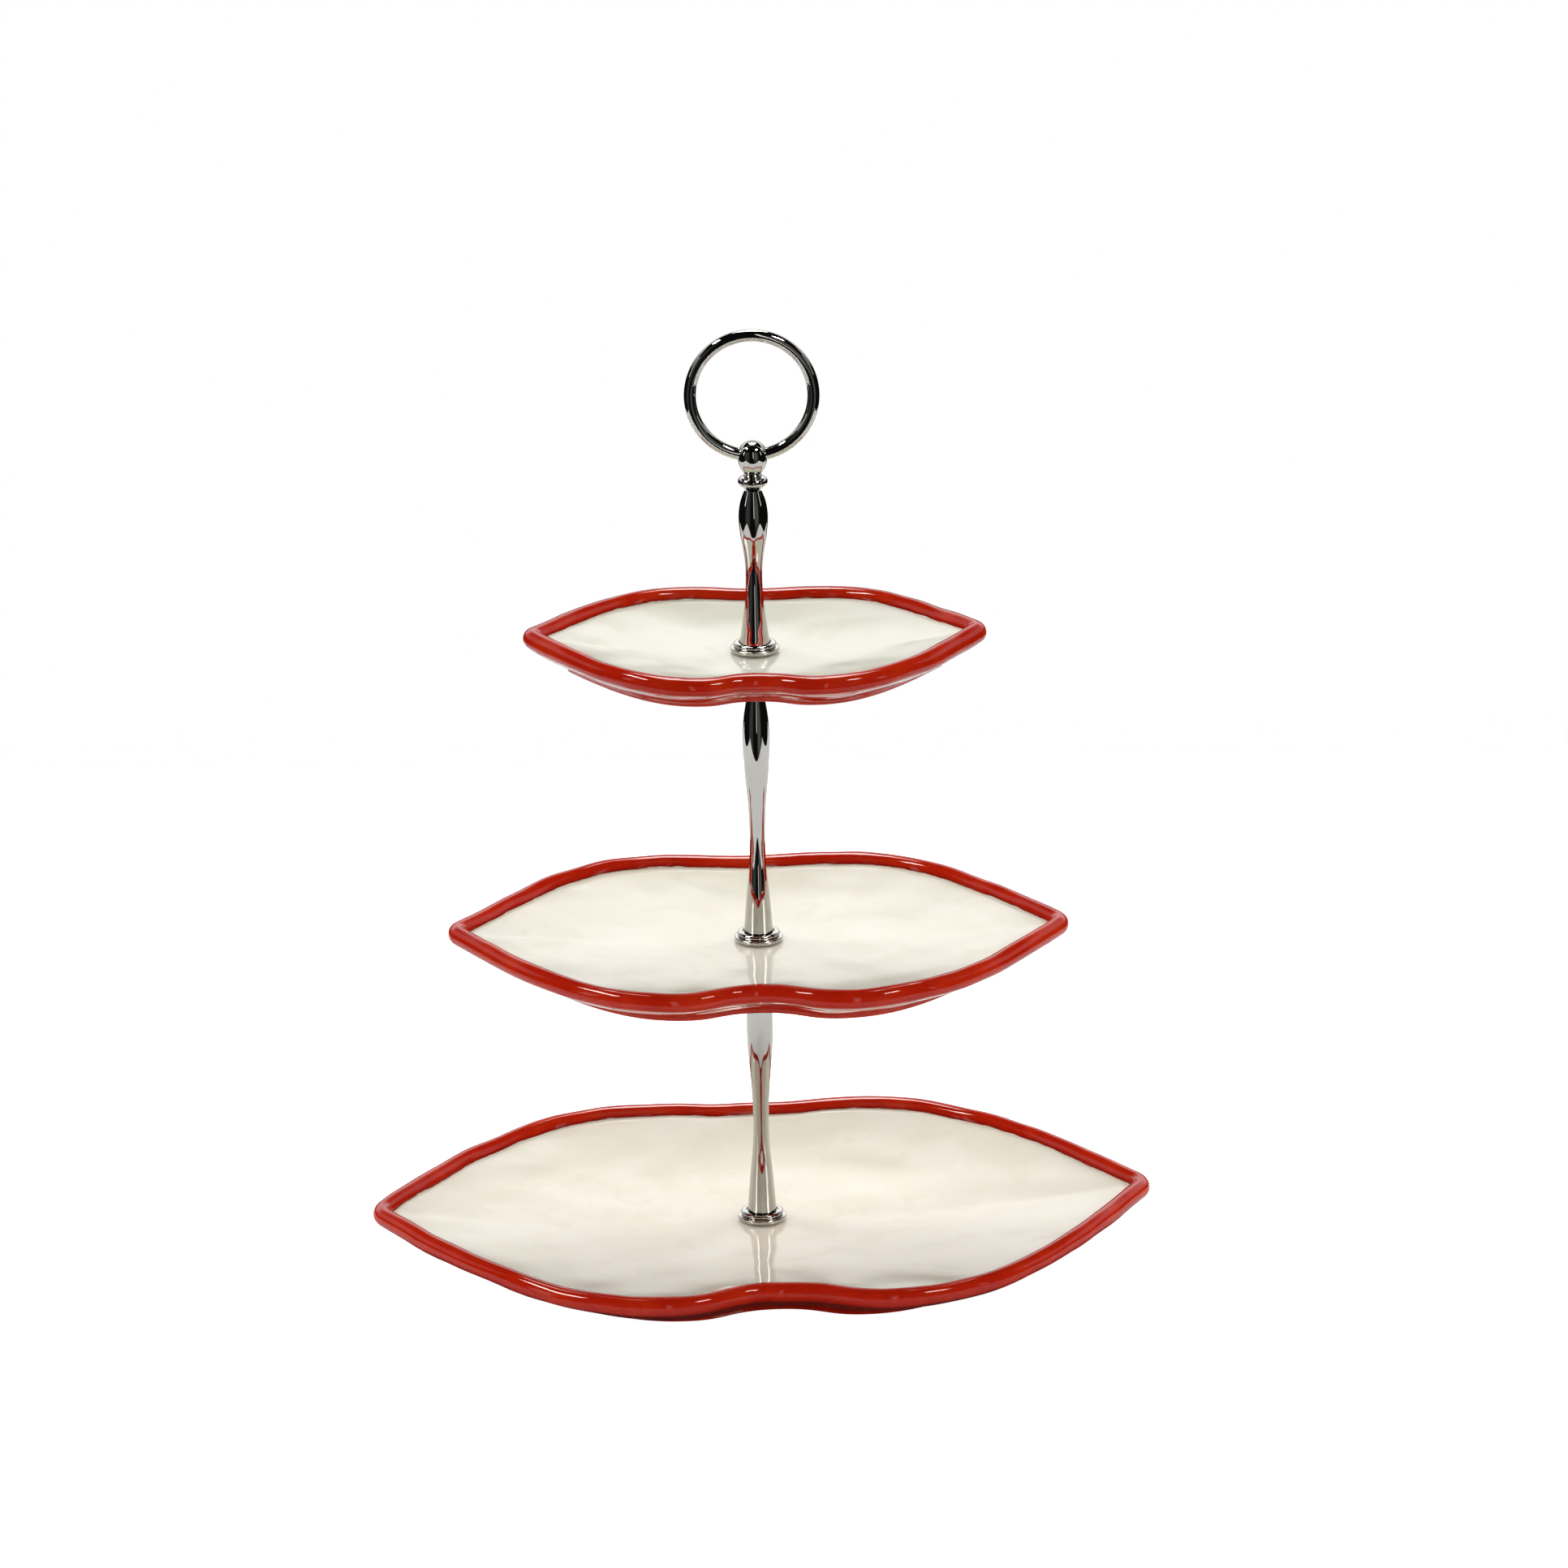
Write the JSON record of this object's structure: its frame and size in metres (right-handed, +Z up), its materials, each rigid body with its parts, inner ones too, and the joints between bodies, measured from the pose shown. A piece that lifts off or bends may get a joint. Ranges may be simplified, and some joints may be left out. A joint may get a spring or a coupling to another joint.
{
  "type": "tiered cake stand",
  "caption": "Tiered cake stand: lips-shaped glazed ceramic plates with raised red rims on a turned chrome post with a ring handle.",
  "frame": {"origin": "on the table, under the middle of the post", "axes": "+Z up along the post, +X from tip to tip of the plates, -Y towards the front of the plates"},
  "size_m": [0.2926, 0.2132, 0.3562],
  "materials": {
    "glazed_ceramic": "glossy ivory glaze, brick-red glaze on rim and foot",
    "chrome_plate": "mirror",
    "zinc_plated_steel": "dull zinc plate",
    "black_rubber": "matt",
    "clear_plastic": "translucent"
  },
  "bodies": {
    "base": {"bottom_plate": "glazed_ceramic", "base_gasket": "black_rubber", "base_washer": "zinc_plated_steel", "base_screw": "zinc_plated_steel"},
    "base_post": {"base_foot_gasket": "clear_plastic", "base_foot_flange": "chrome_plate", "base_column": "chrome_plate", "base_stud": "zinc_plated_steel", "base_support_collar": "chrome_plate", "base_support_gasket": "black_rubber"},
    "middle_plate": {"middle_plate": "glazed_ceramic"},
    "middle_post": {"middle_foot_gasket": "clear_plastic", "middle_foot_flange": "chrome_plate", "middle_column": "chrome_plate", "middle_stud": "zinc_plated_steel", "middle_support_collar": "chrome_plate", "middle_support_gasket": "black_rubber"},
    "top_plate": {"top_plate": "glazed_ceramic"},
    "top_post": {"top_foot_gasket": "clear_plastic", "top_foot_flange": "chrome_plate", "top_column": "chrome_plate"},
    "handle": {"handle_collar": "chrome_plate", "handle_ball": "chrome_plate", "handle_ring": "chrome_plate", "handle_stud": "zinc_plated_steel"}
  },
  "joints": [
    {"name": "base_post_turn", "type": "hinge", "parent": "base", "child": "base_post", "pos_m": [0, 0, 0.0108], "axis": [0, 0, 1], "continuous": true},
    {"name": "middle_plate_turn", "type": "hinge", "parent": "base_post", "child": "middle_plate", "pos_m": [0, 0, 0.1218], "axis": [0, 0, 1], "continuous": true},
    {"name": "middle_post_turn", "type": "hinge", "parent": "base_post", "child": "middle_post", "pos_m": [0, 0, 0.1218], "axis": [0, 0, 1], "continuous": true},
    {"name": "top_plate_turn", "type": "hinge", "parent": "middle_post", "child": "top_plate", "pos_m": [0, 0, 0.2341], "axis": [0, 0, 1], "continuous": true},
    {"name": "top_post_turn", "type": "hinge", "parent": "middle_post", "child": "top_post", "pos_m": [0, 0, 0.2341], "axis": [0, 0, 1], "continuous": true},
    {"name": "handle_turn", "type": "hinge", "parent": "top_post", "child": "handle", "pos_m": [0, 0, 0.2961], "axis": [0, 0, 1], "continuous": true}
  ]
}
